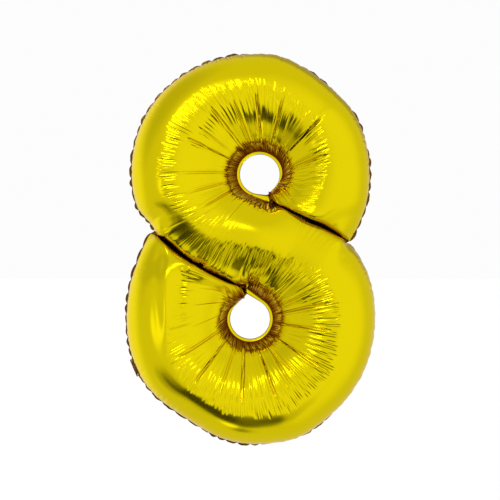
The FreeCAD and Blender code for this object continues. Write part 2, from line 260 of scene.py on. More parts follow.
class Film:
    """The front panel as a grid of film: rows run along the S, columns across the tube."""

    def __init__(self, stations, across, shape, cut):
        self.stations, self.across, self.shape, self.cut = stations, across, shape, cut
        self.start, flat = figure_grid(stations, across, shape, cut)
        self.points = self.start.copy()
        self.speed = np.zeros_like(self.points)
        self.rest = {k: gaps(flat, *k) for k in ((1, 0), (0, 1), (1, 1), (1, -1), (2, 0), (0, 2))}
        self.rows, self.middle = self.points.shape[1] - 1, stations + across
        s, m, n = self.start, self.middle, across
        self.tie_upper = s[:, m:m + n + 1, 0] - s[:, 0, :]
        self.tie_lower = s[:, m - n:m + 1, n][:, ::-1] - s[:, self.rows, ::-1]

    def finer(self):
        """The same film with twice as many points each way."""
        fine = Film(self.stations * 2, self.across * 2, self.shape, self.cut)
        points = self.points
        for axis in (1, 2):
            p = np.moveaxis(points, axis, 1)
            out = np.empty((3, 2 * p.shape[1] - 1, p.shape[2]), F32)
            out[:, 0::2] = p
            middle = 0.5 * (p[:, 1:] + p[:, :-1])
            middle[:, 1:-1] = (9 * (p[:, 1:-2] + p[:, 2:-1]) - (p[:, :-3] + p[:, 3:])) / 16
            out[:, 1::2] = middle
            points = np.moveaxis(out, 1, axis)
        fine.points = np.ascontiguousarray(points)
        return fine

    def near_eye(self):
        """Distance from the nearer eye, the bearing round it in degrees, and which eye it is."""
        x, z = self.start[0], self.start[2]
        far = [np.hypot(x - e[0], z - e[1]) for e in self.shape.eyes]
        turn = [np.degrees(np.arctan2(z - e[1], x - e[0])) for e in self.shape.eyes]
        lower = far[1] < far[0]
        return np.where(lower, far[1], far[0]), np.where(lower, turn[1], turn[0]), lower

    def from_rim(self):
        """Film width between a point and the rim or cross weld on its outer side."""
        row = np.arange(self.rows + 1)[:, None]
        column = np.arange(self.across + 1)[None, :]
        return np.where(row <= self.middle, self.across - column, column) * (0.29 / self.across)

    def press_creases(self, creases, depth, width=4.0):
        """Start the long creases that run into each eye, at their bearings in degrees."""
        r, turn, lower = self.near_eye()
        window = ease((r - 0.060) / 0.015) * (1 - ease((r - 0.150) / 0.030))
        for eye, bearings in enumerate(creases):
            for b in bearings:
                off = (turn - b + 180) % 360 - 180
                self.points[1] += (depth * np.exp(-(off / width) ** 2) * window * (lower == bool(eye))).astype(F32)
        np.minimum(self.points[1], 0, out=self.points[1])

    def stiffness(self, eye, outer, rim):
        """How much the film resists being squeezed along the tube: near an eye, outside and at the rim."""
        r = self.near_eye()[0]
        k = outer + (eye - outer) * (1 - ease((r - 0.150) / 0.030))
        k = np.maximum(k, rim * (1 - ease((self.from_rim() - 0.0125) / 0.025)))
        self.along = ((k[1:] + k[:-1]) / 2).astype(F32)
        self.slant = ((k[1:, 1:] + k[:-1, 1:] + k[1:, :-1] + k[:-1, :-1]) / 8).astype(F32)

    def normals(self):
        """Area normals of the grid, not scaled to unit length."""
        p = self.points
        u, v = np.empty_like(p), np.empty_like(p)
        u[:, 1:-1], u[:, 0], u[:, -1] = p[:, 2:] - p[:, :-2], p[:, 1] - p[:, 0], p[:, -1] - p[:, -2]
        v[:, :, 1:-1] = p[:, :, 2:] - p[:, :, :-2]
        v[:, :, 0], v[:, :, -1] = p[:, :, 1] - p[:, :, 0], p[:, :, -1] - p[:, :, -2]
        return np.stack([u[2] * v[1] - u[1] * v[2], u[0] * v[2] - u[2] * v[0], u[1] * v[0] - u[0] * v[1]])

    def hold_side(self, view, arm, side, gap=0.0006):
        """Keep points on their own side of a cross weld, where arm and waist press on each other."""
        weld = self.shape.cross[arm]
        run = weld[3] - weld[0]
        run = run / np.linalg.norm(run)
        left = np.array([-run[1], run[0]])
        line = bezier(weld, np.linspace(0, 1, 40)) - weld[0]
        x, z = view[0] - F32(weld[0][0]), view[2] - F32(weld[0][1])
        along, beside = x * F32(run[0]) + z * F32(run[1]), x * F32(left[0]) + z * F32(left[1])
        beside -= np.interp(along, line @ run, line @ left).astype(F32)
        over = beside * side - gap
        push = np.where((over < 0) & (along > -0.004), -over * side, 0).astype(F32)
        view[0] += push * F32(left[0])
        view[2] += push * F32(left[1])

    def bend(self, strength):
        """Resist sharp folds by holding points two apart."""
        p = self.points
        for axis, rest in ((1, self.rest[2, 0]), (2, self.rest[0, 2])):
            q, r = np.moveaxis(p, axis, 1), (rest if axis == 1 else rest.T)
            for first in range(4):
                b = q[:, first + 2::4]
                a = q[:, first::4][:, :b.shape[1]]
                pull(a, b, r[first::4][:b.shape[1]], strength, strength)

    def pinned(self):
        """Hold the welds: on the middle plane, tied across each cross weld, taut round each eye."""
        p, n, m, last, s = self.points, self.across, self.middle, self.rows, self.start
        for edge in (p[1, :, 0], p[1, :, -1], p[1, 0, :], p[1, -1, :]):
            edge[:] = 0
        np.minimum(p[1], 0, out=p[1])
        joined = (p[:, 0, :] + p[:, m:m + n + 1, 0] - self.tie_upper) / 2
        p[:, 0, :], p[:, m:m + n + 1, 0] = joined, joined + self.tie_upper
        joined = (p[:, last, ::-1] + p[:, m - n:m + 1, n][:, ::-1] - self.tie_lower) / 2
        p[:, last, :], p[:, m - n:m + 1, n] = joined[:, ::-1], (joined + self.tie_lower)[:, ::-1]
        p[:, :m + 1, 0] += 0.5 * (s[:, :m + 1, 0] - p[:, :m + 1, 0])
        p[:, m:, -1] += 0.5 * (s[:, m:, -1] - p[:, m:, -1])
        for edge in (0, -1):
            p[:, :, edge] += 0.001 * (s[:, :, edge] - p[:, :, edge])

    def inflate(self, steps, pressure, bending=0.02, drag=0.98):
        p, rest, n, m, last = self.points, self.rest, self.across, self.middle, self.rows
        end = int(self.stations * 0.3)
        cell = float((rest[1, 0][:, :-1] * rest[0, 1][:-1]).mean()) * 4.0
        for step in range(steps):
            if step % 4 == 0:
                push = self.normals()
                push *= F32(math.copysign(pressure / cell, -push[1, last // 4, n // 2]))
            self.speed += push
            self.speed *= F32(drag)
            before = p.copy()
            p += self.speed
            for odd in (0, 1):
                b = p[:, :, odd + 1::2]
                pull(p[:, :, odd::2][:, :, :b.shape[2]], b, rest[0, 1][:, odd::2], 1.0, 1.0)
            for odd in (0, 1):
                b = p[:, odd + 1::2]
                pull(p[:, odd::2][:, :b.shape[1]], b, rest[1, 0][odd::2], 1.0, self.along[odd::2])
            for odd in (0, 1):
                slant = self.slant[odd::2]
                a, b = p[:, odd:-1:2], p[:, odd + 1::2]
                pull(a[:, :, :-1], b[:, :, 1:], rest[1, 1][odd::2], 0.6, slant)
                pull(a[:, :, 1:], b[:, :, :-1], rest[1, -1][odd::2], 0.6, slant)
            self.bend(bending)
            self.pinned()
            if step % 2 == 0:
                self.hold_side(p[:, 1:end], 0, 1)
                self.hold_side(p[:, m - 4:m + n + end, :n // 2], 0, -1)
                self.hold_side(p[:, last - end:last], 1, 1)
                self.hold_side(p[:, m - n - end:m + 4, n // 2 + 1:], 1, -1)
            np.subtract(p, before, out=self.speed)


# ------------------------------------------------------------------ fine wrinkles


def blur(field, span, axis=0):
    """Running mean of a field, span samples to each side."""
    moved = np.moveaxis(field, axis, 0)
    padded = np.pad(moved, [(span + 1, span)] + [(0, 0)] * (moved.ndim - 1), mode="edge").cumsum(0)
    return np.moveaxis((padded[2 * span + 1:] - padded[:-2 * span - 1]) / (2 * span + 1), 0, axis)


def groove(field, row, width, shape):
    """Cut one groove along a row: width is its half width in rows, shape its depth at each column."""
    reach = int(width * 3) + 1
    low, high = max(0, int(row) - reach), min(len(field), int(row) + reach + 2)
    rows = np.arange(low, high)
    field[low:high] += np.exp(-((rows - row) / width) ** 2)[:, None] * shape[None, :]


class Surface:
    """The inflated film with its fine wrinkles, on a grid with twice as many rows."""

    def __init__(self, film, rng):
        fine = film.finer()
        self.rng, self.outline = rng, film.shape
        self.points = fine.points[:, :, ::2].astype(float)
        self.start = fine.start[:, :, ::2].astype(float)
        self.arm, self.middle = fine.stations, fine.middle
        self.rows, self.columns = self.points.shape[1] - 1, self.points.shape[2] - 1
        plan = self.points[[0, 2]]
        self.from_first = np.hypot(*(plan - plan[:, :, :1]))
        self.from_last = np.hypot(*(plan - plan[:, :, -1:]))
        self.sunk = np.zeros(self.points.shape[1:])

    def turn(self, arm):
        """Bearing of each row's mid point round a lobe's eye, in degrees."""
        eye = self.outline.eyes[arm]
        mid = self.start[:, :, self.columns // 2]
        return np.degrees(np.arctan2(mid[2] - eye[1], mid[0] - eye[0]))

    def crown(self):
        """Each row's distance from its first and its last column to the tube's crown."""
        top = np.argmin(blur(self.points[1], 20), axis=1)
        rows = np.arange(self.rows + 1)
        return blur(self.from_first[rows, top], 20), blur(self.from_last[rows, top], 20)

    def ring_of_wrinkles(self):
        """Short fine wrinkles where the film goes from taut to gathered, along the S's inner side."""
        first, last = self.crown()
        upper, lower = np.radians(self.turn(0)), np.radians(self.turn(1))
        row = np.arange(self.rows + 1)
        waist = ease((row - self.middle + 150) / 120)
        reach_upper = first + 0.005 + 0.027 * np.cos(upper - math.radians(150))
        reach_lower = last - 0.020 + (0.028 + 0.014 * np.cos(lower + math.radians(80))) * \
            ease((row - self.middle - 60) / 90)
        off = (np.degrees(lower) - 174 + 180) % 360 - 180
        reach_lower = reach_lower - 0.018 * np.exp(-(off / 30) ** 2)
        share_upper = ease(row / 60) * (1 - waist)
        share_lower = waist * ease((self.rows - row) / 60)
        for far, reach, share in ((self.from_first, reach_upper, share_upper),
                                  (self.from_last, reach_lower, share_lower)):
            strength = 1.0 if far is self.from_first else 1.35
            at = 4.0
            while at < self.rows - 4:
                i = int(at)
                if share[i] > 0.02:
                    long = self.rng.rand() < 0.30
                    end = reach[i] + self.rng.normal() * 0.004
                    length = (0.062 if long else 0.040) * self.rng.uniform(0.6, 1.25)
                    window = ease((end - far[i]) / 0.008) * ease((far[i] - end + length) / (length * 0.6))
                    depth = (0.0019 if long else 0.0014) * self.rng.uniform(0.4, 1.2) * share[i] * strength
                    groove(self.sunk, at, self.rng.uniform(0.8, 1.2), depth * window)
                at += self.rng.uniform(2.4, 4.2)

    def collar_wrinkles(self):
        """Tight pleats where the film drops to each eye and to the cross welds."""
        for far in (self.from_first, self.from_last):
            at = 3.0
            side = slice(0, self.middle + 1) if far is self.from_first else slice(self.middle, self.rows + 1)
            while at < self.rows - 3:
                i = int(at)
                if side.start <= i < side.stop:
                    length = 0.026 * self.rng.uniform(0.7, 1.5)
                    window = ease(far[i] / 0.003) * (1 - ease((far[i] - length * 0.6) / (length * 0.4)))
                    groove(self.sunk, at, self.rng.uniform(2.0, 3.4),
                           0.0020 * self.rng.uniform(0.4, 1.2) * window)
                at += self.rng.uniform(6.0, 11.0)

    def rim_wrinkles(self):
        """Short pleats that run in from the outline seam."""
        for far, side in ((self.from_last, range(0, self.arm)), (self.from_first, range(self.rows - self.arm, self.rows))):
            at = side.start + 3.0
            while at < side.stop - 3:
                i = int(at)
                length = 0.012 * self.rng.uniform(0.5, 2.2)
                window = ease(far[i] / 0.002) * (1 - ease((far[i] - length * 0.3) / (length * 0.7)))
                groove(self.sunk, at, self.rng.uniform(0.8, 1.3), 0.0008 * self.rng.uniform(0.3, 1.2) * window)
                at += self.rng.uniform(3.5, 9.0)

    def calm_waist(self):
        """Even out the film across the waist, which is full and taut."""
        row = np.arange(self.rows + 1)
        reach = self.middle - self.arm
        span = (1 - ease((np.abs(row - self.middle) - reach * 0.75) / (reach * 0.7)))[:, None]
        edge = ease(np.minimum(self.from_first, self.from_last) / 0.030 - 0.2)
        self.points += (blur(blur(self.points, 40, 1), 40, 1) - self.points) * span * edge

    def lean_waist(self, amount):
        """Carry the crown of the waist towards the lower cross weld."""
        weld = self.outline.cross[1]
        side, left, gap, near = self.beside(weld)
        width = np.maximum(self.from_first + self.from_last, 1e-6)
        row = np.arange(self.rows + 1)
        reach = self.middle - self.arm
        span = (1 - ease((np.abs(row - self.middle) - reach * 0.5) / (reach * 1.0)))[:, None]
        move = amount * np.sin(math.pi * self.from_last / width) * span
        self.points[0] -= left[0] * move
        self.points[2] -= left[1] * move

    def calm_corners(self):
        """Round the two outer corners of each arm's closed end."""
        for arm, corner in ((0, self.start[:, 0, -1]), (1, self.start[:, -1, 0])):
            far = np.sqrt(((self.start[[0, 2]] - corner[[0, 2], None, None]) ** 2).sum(0))
            own = (np.arange(self.rows + 1) < self.arm // 2)[:, None]
            own = own if arm == 0 else own[::-1]
            self.points += (self.start - self.points) * (1 - ease((far - 0.060) / 0.060)) * own

    def pinch_rim(self):
        """Even out the film next to the outline seam, then pinch it every 12 to 24 mm."""
        even = blur(self.points, 6, 1)
        self.puff = []
        for arm, far in ((0, self.from_last), (1, self.from_first)):
            self.points += (even - self.points) * (1 - ease((far - 0.008) / 0.010)) * self.own(arm)
            rim = self.rim(arm)
            run = np.concatenate([[0], np.cumsum(np.hypot(np.diff(rim[0]), np.diff(rim[2])))])
            knots = [0.0]
            while knots[-1] < run[-1]:
                knots.append(knots[-1] + self.rng.uniform(0.020, 0.036))
            share = np.interp(run, knots, np.arange(len(knots)))
            size = self.rng.uniform(0.5, 1.0, len(knots) + 1)[share.astype(int)]
            puff = np.abs(np.sin(math.pi * share)) ** 0.6
            self.puff.append((share, puff, size))
            rows = slice(0, self.arm + 1) if arm == 0 else slice(self.rows, self.rows - self.arm - 1, -1)
            close = 1 - ease((far[rows] - 0.001) / 0.012)
            centre = self.outline.lobes[arm]
            out = self.points[[0, 2], rows] - np.array(centre)[:, None, None]
            out /= np.linalg.norm(out, axis=0)
            self.points[[0, 2], rows] -= out * (0.0008 * (1 - puff))[:, None] * close

    def own(self, arm):
        """1 on the rows of one arm, 0 elsewhere."""
        row = np.arange(self.rows + 1)[:, None]
        return (row <= self.arm if arm == 0 else row >= self.rows - self.arm) * 1.0

    def rim(self, arm):
        """Points of one arm's outline seam, from its closed end."""
        if arm == 0:
            return self.points[:, :self.arm + 1, -1]
        return self.points[:, self.rows - self.arm:, 0][:, ::-1]

    def settle_outline(self):
        """Pull the outline in or out where the film hangs slack or full."""
        slack = (((48, 14, 0.024), (78, 9, -0.016), (150, 30, -0.014), (210, 9, 0.030)),
                 ((237, 20, 0.058), (292, 11, -0.022), (20, 14, -0.012)))
        for arm in (0, 1):
            centre = np.array(self.outline.lobes[arm])[:, None, None]
            off = self.points[[0, 2]] - centre
            r = np.linalg.norm(off, axis=0)
            turn = np.degrees(np.arctan2(off[1], off[0]))
            share = np.zeros_like(r)
            for middle, spread, amount in slack[arm]:
                share += amount * np.exp(-(((turn - middle + 180) % 360 - 180) / spread) ** 2)
            share *= ease((r - 0.15) / 0.10) * self.own(arm)
            self.points[[0, 2]] = centre + off * (1 - share)

    def tent_arm_end(self):
        """Soft upright fold that fans down from the lower arm's outer corner."""
        corner = self.outline.cross[1][3]
        x, z = self.points[0] - corner[0], corner[1] - self.points[2]
        for offset, spread, height in ((0.028, 0.011, 0.0050), (0.058, 0.012, -0.0030), (0.010, 0.010, -0.0015)):
            middle = offset * ease(z / 0.060) + 0.010 * ease(z / 0.2)
            window = ease(z / 0.030) * (1 - ease((z - 0.120) / 0.130)) * self.own(1)
            self.points[1] -= height * np.exp(-((x - middle) / spread) ** 2) * window

    def calm_upper_seam(self):
        """Even out the film along the upper cross weld, where the arm and the waist press together."""
        smooth = blur(self.points, 5, 2)
        row = np.arange(self.rows + 1)[:, None]
        self.points += (smooth - self.points) * (1 - ease((row - 14) / 20)) * ease(row / 4)
        smooth = blur(self.points, 18, 1)
        share = ease((row - self.middle + 10) / 30) * (1 - ease((row - self.middle - self.columns * 2) / 30))
        column = np.arange(self.columns + 1)[None, :]
        self.points += (smooth - self.points) * share * (1 - ease((column - 9) / 8)) * ease(column / 2)

    def petals(self, creases, depth, tilt):
        """Fold a sharp line down each long crease and tip the film between creases a little."""
        fine = self.points[1] - blur(self.points[1], 9)
        for arm, far in ((0, self.from_first), (1, self.from_last)):
            turn = self.turn(arm)
            inside = (far > 0.030) & (far < 0.085)
            depth_here = (fine * inside).sum(1) / np.maximum(inside.sum(1), 1)
            own = np.arange(self.rows + 1) < self.middle
            own = own if arm == 0 else ~own
            found = []
            for bearing_ in creases[arm]:
                off = np.abs((turn - bearing_ + 180) % 360 - 180)
                near = np.where(own & (off < 5))[0]
                if len(near):
                    found.append(near[np.argmax(depth_here[near])])
            found = sorted(found)
            window = ease(far / 0.012 - 0.6) * (1 - ease((far - 0.075) / 0.030))
            for row in found:
                groove(self.sunk, row, 1.1, depth * window[row])
            for a, b in zip(found, found[1:]):
                rows = np.arange(a, b)
                lean = self.rng.uniform(-tilt, tilt) * ((rows - a) / (b - a) - 0.5)
                self.sunk[a:b] += lean[:, None] * window[a:b]

    def sharpen_creases(self, gain_fine, gain_wide):
        """Deepen the creases the film already has inside its crown."""
        depth = self.points[1]
        fine = depth - blur(depth, 7)
        wide = blur(depth, 3) - blur(depth, 26)
        first, last = self.crown()
        inner_first = 1 - ease((self.from_first - first[:, None] * 0.85) / 0.020)
        inner_last = 1 - ease((self.from_last - last[:, None] * 0.85) / 0.020)
        row = np.arange(self.rows + 1)
        half = ease((row - self.middle + 60) / 120)[:, None]
        window = inner_first * (1 - half) + inner_last * half
        edge = ease(np.minimum(self.from_first, self.from_last) / 0.010)
        self.sunk += (gain_fine * fine + gain_wide * wide) * window * edge

    def knee(self, height, weld_height):
        """Lift the inner edge of the gathers, so the film drops steeply to each eye."""
        row = np.arange(self.rows + 1)
        for far, share in ((self.from_first, row <= self.middle), (self.from_last, row >= self.middle)):
            lift = height * np.exp(-((far - 0.021) / 0.015) ** 2) * (1 - np.exp(-far / 0.006))
            self.points[1] -= lift * share[:, None]
        for weld, lift in zip(self.outline.cross, weld_height):
            gap, near = self.beside(weld)[2:]
            lift = lift * np.exp(-((gap - 0.022) / 0.016) ** 2) * (1 - np.exp(-gap / 0.006))
            self.points[1] -= lift * near

    def beside(self, weld):
        """Signed distance from a cross weld, its left side, clear gap, and share of being along it."""
        x, z = self.points[0], self.points[2]
        run = weld[3] - weld[0]
        length = np.linalg.norm(run)
        run = run / length
        left = np.array([-run[1], run[0]])
        line = bezier(weld, np.linspace(0, 1, 40)) - weld[0]
        along = (x - weld[0][0]) * run[0] + (z - weld[0][1]) * run[1]
        side = (x - weld[0][0]) * left[0] + (z - weld[0][1]) * left[1]
        side = side - np.interp(along, line @ run, line @ left)
        gap = np.maximum(np.abs(side) - self.outline.weld / 2, 0)
        away = np.abs(side)
        near = ease((along + 0.004) / (0.012 + 1.4 * away)) * ease((length - along + 0.004) / (0.020 + 0.4 * away))
        return side, left, gap, near

    def close_valleys(self, share, reach):
        """Bring the film on both sides of each cross weld together over the weld."""
        for weld in self.outline.cross:
            side, left, gap, near = self.beside(weld)
            move = -side * share * np.exp(-(side / reach) ** 2) * near * ease(-self.points[1] / 0.007)
            self.points[0] += move * left[0]
            self.points[2] += move * left[1]

    def raise_notch(self, amount):
        """Carry the outer notch at the lower arm's end up towards the upper lobe."""
        notch = self.outline.cross[1][3]
        x, z = self.points[0] - notch[0] - 0.020, self.points[2] - notch[1]
        self.points[2] += amount * np.exp(-(x / 0.065) ** 2 - (z / 0.070) ** 2)

    def overhang(self, arm, bearings, amount):
        """Let the film of an arm's end bulge over the rim of its eye, between two bearings in degrees."""
        eye = np.array(self.outline.eyes[arm])[:, None, None]
        far = self.from_first if arm == 0 else self.from_last
        off = self.points[[0, 2]] - eye
        r = np.linalg.norm(off, axis=0)
        turn = np.degrees(np.arctan2(off[1], off[0]))
        low, high = bearings
        share = ease((turn - low + 14) / 14) * ease((high - turn) / 40)
        share = share if arm == 0 else ease((turn - low + 4) / 8) * ease((high - turn) / 34)
        row = np.arange(self.rows + 1)[:, None]
        share *= (row < self.arm // 2 if arm == 0 else row > self.rows - self.arm // 2)
        share *= ease(far / 0.006) * (1 - ease((far - 0.008) / 0.022))
        self.points[[0, 2]] -= off / r * amount * share

    def gather_shade(self):
        """Share of painted shade at each point, where the film gathers: full at the eyes and cross welds, none out on
        the tube.
        """
        row = np.arange(self.rows + 1)
        first_side, last_side = (row <= self.middle)[:, None], (row >= self.middle)[:, None]
        share = np.zeros_like(self.sunk)
        ragged = blur(self.rng.normal(0, 0.006, self.rows + 1), 2)[:, None]
        for far, side in ((self.from_first, first_side), (self.from_last, last_side)):
            share = np.maximum(share, (1 - ease((far - 0.005 - ragged) / 0.020)) * side)
            share = np.maximum(share, 0.22 * (1 - ease((far - 0.022 - ragged) / 0.016)) * side)
        for weld in self.outline.cross:
            gap, near = self.beside(weld)[2:]
            share = np.maximum(share, 0.35 * (1 - ease((gap - 0.001) / 0.010)) * near)
        return share

    def settle(self):
        """Move every point in along its normal by the depth of its wrinkles."""
        u = np.gradient(self.points, axis=1)
        v = np.gradient(self.points, axis=2)
        normal = np.stack([u[2] * v[1] - u[1] * v[2], u[0] * v[2] - u[2] * v[0], u[1] * v[0] - u[0] * v[1]])
        normal /= np.linalg.norm(normal, axis=0) + 1e-12
        normal *= np.where(normal[1] < 0, -1.0, 1.0)
        edge = np.ones_like(self.sunk)
        edge[:, 0] = edge[:, -1] = edge[0] = edge[-1] = 0
        self.points += normal * self.sunk * edge
        self.points[1] = np.minimum(self.points[1], 0)


# ------------------------------------------------------------------ properties


class FIGURE_PG_shape(bpy.types.PropertyGroup):
    """Sizes of the inflated figure and of the film it was cut from."""

    upper_radius: bpy.props.FloatProperty(
        name="Upper lobe radius", description="Film outline of the upper lobe", default=0.262, unit="LENGTH")
    lower_radius: bpy.props.FloatProperty(
        name="Lower lobe radius", description="Film outline of the lower lobe", default=0.274, unit="LENGTH")
    eye_radius: bpy.props.FloatProperty(
        name="Eye radius", description="Film edge round each eye", default=0.050, unit="LENGTH")
    weld_width: bpy.props.FloatProperty(
        name="Cross weld width", description="Flat band between an arm's end and the waist", default=0.006,
        unit="LENGTH")
    cut_growth: bpy.props.FloatProperty(
        name="Cut growth", description="How much further out the flat cut's outline lies", default=0.064,
        unit="LENGTH")
    cut_spread: bpy.props.FloatProperty(
        name="Cut spread", description="How much further apart the lobes are in the flat cut", default=0.038,
        unit="LENGTH")
    seed: bpy.props.IntProperty(name="Seed", description="Picks where small wrinkles start", default=1)


class FIGURE_PG_look(bpy.types.PropertyGroup):
    """Colours and finish of the foil."""

    foil_colour: bpy.props.FloatVectorProperty(
        name="Foil colour", description="Colour of the metallised film", subtype="COLOR", size=3,
        min=0.0, max=1.0, default=(0.81, 0.665, 0.002))
    # Painted shade: a darker brown where the film gathers at the eyes and welds, standing in for the shade in the folds
    gather_shade_colour: bpy.props.FloatVectorProperty(
        name="Gathered colour", description="Deeper colour where the film gathers at a weld", subtype="COLOR",
        size=3, min=0.0, max=1.0, default=(0.30, 0.115, 0.001))
    # Painted shade: this dark brown stands in for the shade in the weld flanges and seam valleys
    weld_shade_colour: bpy.props.FloatVectorProperty(
        name="Outline weld colour", description="Heat-darkened colour of the outline weld", subtype="COLOR",
        size=3, min=0.0, max=1.0, default=(0.13, 0.065, 0.006))
    foil_roughness: bpy.props.FloatProperty(
        name="Foil roughness", description="Blur of the film's reflections", subtype="FACTOR",
        min=0.0, max=1.0, default=0.17)


# ------------------------------------------------------------------ meshes


def mesh_object(name, vertices, faces, material, smooth=True):
    mesh = bpy.data.meshes.new(name)
    mesh.from_pydata(vertices, [], faces)
    mesh.materials.append(material)
    mesh.polygons.foreach_set("use_smooth", [smooth] * len(mesh.polygons))
    mesh.update()
    made = bpy.data.objects.new(name, mesh)
    bpy.context.collection.objects.link(made)
    return made


def grid_faces(rows, columns, flip=False):
    """Quads of a grid whose vertices run row by row."""
    i, j = np.meshgrid(np.arange(rows - 1), np.arange(columns - 1), indexing="ij")
    a = (i * columns + j).ravel()
    quads = np.stack([a, a + 1, a + columns + 1, a + columns], -1)
    return (quads[:, ::-1] if flip else quads).tolist()


def film_object(name, points, gather_shade, material, flip):
    """Film panel with the share of painted gather shade stored at each point."""
    rows, columns = points.shape[1:]
    made_panel = mesh_object(name, points.reshape(3, -1).T.tolist(), grid_faces(rows, columns, flip), material)
    layer = made_panel.data.attributes.new("gather_shade", "FLOAT", "POINT")
    layer.data.foreach_set("value", gather_shade.ravel().astype(np.float32))
    return made_panel


def band_object(name, lines, thickness, material, normal=(0, 1, 0)):
    """Closed thin band: lines is a list of rows of points (3, n), from one edge to the other."""
    lines = np.stack(lines, 2)
    rows, columns = lines.shape[1:]
    half = (np.array(normal) * thickness / 2)[:, None, None]
    front, back = (lines - half).reshape(3, -1).T, (lines + half).reshape(3, -1).T
    faces = grid_faces(rows, columns)
    count = rows * columns
    faces += [[v + count for v in reversed(f)] for f in faces]
    border = [(i * columns, (i + 1) * columns) for i in range(rows - 1)]
    border += [((rows - 1) * columns + j, (rows - 1) * columns + j + 1) for j in range(columns - 1)]
    border += [((i + 1) * columns + columns - 1, i * columns + columns - 1) for i in reversed(range(rows - 1))]
    border += [(j + 1, j) for j in reversed(range(columns - 1))]
    faces += [[b, a, a + count, b + count] for a, b in border]
    return mesh_object(name, np.concatenate([front, back]).tolist(), faces, material)


# ------------------------------------------------------------------ materials


def clouded(name, light, dark, scale, detail):
    """New material whose base colour drifts softly between two colours; returns it with its nodes."""
    finish = bpy.data.materials.new(name)
    finish.use_nodes = True
    nodes, links = finish.node_tree.nodes, finish.node_tree.links
    place = nodes.new("ShaderNodeTexCoord")
    cloud = nodes.new("ShaderNodeTexNoise")
    cloud.inputs["Scale"].default_value = scale
    cloud.inputs["Detail"].default_value = detail
    links.new(place.outputs["Object"], cloud.inputs["Vector"])
    tint = nodes.new("ShaderNodeMix")
    tint.data_type = "RGBA"
    tint.inputs["A"].default_value = (*light, 1)
    tint.inputs["B"].default_value = (*dark, 1)
    links.new(cloud.outputs["Fac"], tint.inputs["Factor"])
    return finish, nodes["Principled BSDF"], place, cloud, tint


def foil_finish(name, look, colour, painted_shade_colour):
    """Mirror-like metallised film, with painted shade: a deeper brown where it is gathered, standing in for the shade
    and gold-on-gold bounce in its folds.
    """
    duller = (colour[0] * 0.96, colour[1] * 0.95, colour[2])
    finish, shader, place, cloud, tint = clouded(name, colour, duller, 9.0, 3.0)
    nodes, links = finish.node_tree.nodes, finish.node_tree.links
    shader.inputs["Metallic"].default_value = 1.0
    shader.inputs["Specular Tint"].default_value = (1.0, 0.86, 0.70, 1)
    # Painted shade: the gather_shade share mixes the darker brown into the base colour where the film gathers
    gather = nodes.new("ShaderNodeAttribute")
    gather.attribute_name = "gather_shade"
    shade_mix = nodes.new("ShaderNodeMix")
    shade_mix.data_type = "RGBA"
    shade_mix.inputs["B"].default_value = (*painted_shade_colour, 1)
    links.new(gather.outputs["Fac"], shade_mix.inputs["Factor"])
    links.new(tint.outputs["Result"], shade_mix.inputs["A"])
    links.new(shade_mix.outputs["Result"], shader.inputs["Base Color"])
    rough = nodes.new("ShaderNodeMapRange")
    rough.inputs["To Min"].default_value = look.foil_roughness * 0.8
    rough.inputs["To Max"].default_value = look.foil_roughness * 1.25
    links.new(cloud.outputs["Fac"], rough.inputs["Value"])
    links.new(rough.outputs["Result"], shader.inputs["Roughness"])
    return finish


def lemon_foil(look):
    """Foil of the panels, the eye rings and the fill tail."""
    return bpy.data.materials.get("lemon_gold_foil") or foil_finish(
        "lemon_gold_foil", look, look.foil_colour, look.gather_shade_colour)


def crimped_shaded_foil(look):
    """Foil of the welds, painted dark brown as shade for the shadowed flanges and seam valleys, with a fine crimp
    pressed in.
    """
    if "crimped_weld_painted_shade" in bpy.data.materials:
        return bpy.data.materials["crimped_weld_painted_shade"]
    # Painted shade: the dark weld colour is the base colour all over this material
    finish = foil_finish("crimped_weld_painted_shade", look, look.weld_shade_colour, look.weld_shade_colour)
    nodes, links = finish.node_tree.nodes, finish.node_tree.links
    place = nodes.new("ShaderNodeTexCoord")
    crimp = nodes.new("ShaderNodeTexNoise")
    crimp.inputs["Scale"].default_value = 700.0
    links.new(place.outputs["Object"], crimp.inputs["Vector"])
    bump = nodes.new("ShaderNodeBump")
    bump.inputs["Strength"].default_value = 0.25
    bump.inputs["Distance"].default_value = 0.0004
    links.new(crimp.outputs["Fac"], bump.inputs["Height"])
    links.new(bump.outputs["Normal"], nodes["Principled BSDF"].inputs["Normal"])
    return finish


def valve_finish(name, colour):
    """Milky polythene film with a faint cloudiness."""
    finish, shader, place, cloud, tint = clouded(name, colour, [c * 0.9 for c in colour], 60.0, 4.0)
    finish.node_tree.links.new(tint.outputs["Result"], shader.inputs["Base Color"])
    shader.inputs["Roughness"].default_value = 0.38
    return finish


# ------------------------------------------------------------------ shared parts of the figure

CREASES = ((96, 129, 158, 190, 211, 232, 44, 16), (-7, 10, -32, -58, -74, -96, 227, 197, 180, 161))
FACETS = (CREASES[0] + (66, 80), CREASES[1] + (28, 45, 60, 76))
RIM_ROOM = 0.005
TIPS = ((0.043, 0.107), (-0.0075, -0.086))
BOWS = (0.006, 0.006)
made = {}


def figure_outlines(shape):
    """Outline of the inflated figure and of the flat cut it comes from."""
    upper, lower = shape.upper_radius, shape.lower_radius
    rim = CAD_BOX[1][2] - RIM_ROOM
    lobes = ((0.0, rim - upper), (0.0, lower - rim))
    eyes = ((0.0215, lobes[0][1] + 0.003), lobes[1])
    inflated = Outline(lobes, (upper, lower), eyes, shape.eye_radius, TIPS, BOWS, shape.weld_width)
    away = (shape.cut_spread, -shape.cut_spread)
    lobes, eyes, tips = ([(x, z + step) for (x, z), step in zip(pair, away)] for pair in (lobes, eyes, TIPS))
    grown = (upper + shape.cut_growth, lower + shape.cut_growth * 1.03)
    return inflated, Outline(lobes, grown, eyes, shape.eye_radius, tips, BOWS, shape.weld_width)


